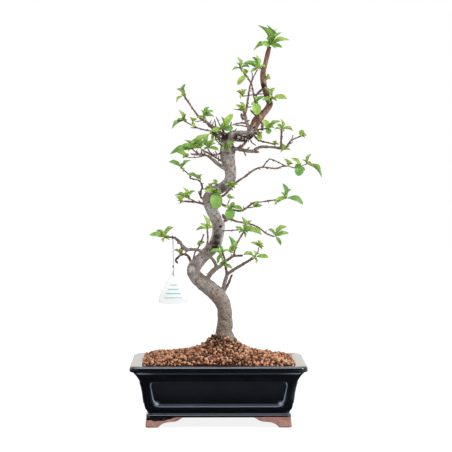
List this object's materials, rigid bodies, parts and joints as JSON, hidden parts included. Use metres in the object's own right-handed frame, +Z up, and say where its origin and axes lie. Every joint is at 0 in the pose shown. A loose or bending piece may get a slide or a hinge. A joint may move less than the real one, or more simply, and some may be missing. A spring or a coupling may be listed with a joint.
{
  "type": "chinese quince bonsai",
  "caption": "Small quince tree with a winding trunk and young leaves, growing in clay granules in a rectangular glazed pot with bracket feet and a hanging label.",
  "frame": {"origin": "middle of the whole outline seen from above, on the surface that the pot stands on", "axes": "+Z up, +X to the right along the pot's length, front of the pot towards -Y"},
  "size_m": [0.314, 0.205, 0.649],
  "materials": {
    "glazed_stoneware": "near-black gloss glaze over pinkish stoneware, bare clay on the feet",
    "screen_plastic": "moulded black plastic screen",
    "clay_granules": "loose fired clay granules, orange to red-brown, matt",
    "bark": "living bark, grey-brown and flaking on the trunk, reddish on young shoots",
    "leaf": "young leaves, soft yellow-green with paler ribs",
    "label_plastic": "white plastic label, smooth, slightly glossy",
    "black_thread": "black twisted thread"
  },
  "bodies": {
    "root": {"pot": "glazed_stoneware", "drainage_mesh_left": "screen_plastic", "drainage_mesh_right": "screen_plastic", "soil": "clay_granules", "tree_wood": "bark", "leaves_left_tip": "leaf", "leaves_left_curl": "leaf", "leaves_leaning_bud": "leaf", "leaves_upright_tip": "leaf", "leaves_low_up": "leaf", "leaves_inner_bend": "leaf", "leaves_bend_front": "leaf", "leaves_low_right_tip": "leaf", "leaves_low_right_rise": "leaf", "leaves_inner_bend_top": "leaf", "leaves_right_node_tip": "leaf", "leaves_middle_right_tip": "leaf", "leaves_middle_right_spur": "leaf", "leaves_middle_right_face": "leaf", "leaves_trunk_face": "leaf", "leaves_middle_right_rise": "leaf", "leaves_long_right_low": "leaf", "leaves_left_high_side": "leaf", "leaves_shoulder_bud": "leaf", "leaves_left_high_tip": "leaf", "leaves_left_high_mid": "leaf", "leaves_left_low_fork": "leaf", "leaves_left_low_tip": "leaf", "leaves_long_right_tip": "leaf", "leaves_long_right_face": "leaf", "leaves_long_right_side": "leaf", "leaves_rising_tip": "leaf", "leaves_crown_left_tip": "leaf", "leaves_crown_left_face": "leaf", "leaves_crown_rising_face": "leaf", "leaves_knot_face": "leaf", "leaves_knot_left": "leaf", "leaves_collar_face": "leaf", "leaves_collar_left": "leaf", "leaves_shoulder_left_face": "leaf", "leaves_shoulder_left_upper_tip": "leaf", "leaves_shoulder_left_low": "leaf", "leaves_second_leader_face": "leaf", "leaves_leader_thin_tip": "leaf", "leaves_crossing_face": "leaf", "leaves_bridge_face": "leaf", "leaves_bridge_low": "leaf", "leaves_riser_tip": "leaf", "leaves_bridge_right_tip": "leaf", "leaves_collar_right_low": "leaf", "leaves_collar_right_tip": "leaf", "leaves_apex": "leaf", "leaves_crossing_tip": "leaf", "leaves_second_leader_tip": "leaf", "leaves_crossing_side": "leaf", "leaves_leader_right": "leaf", "leaves_leader_face": "leaf", "tag": "label_plastic", "tag_string": "black_thread"}
  },
  "joints": []
}
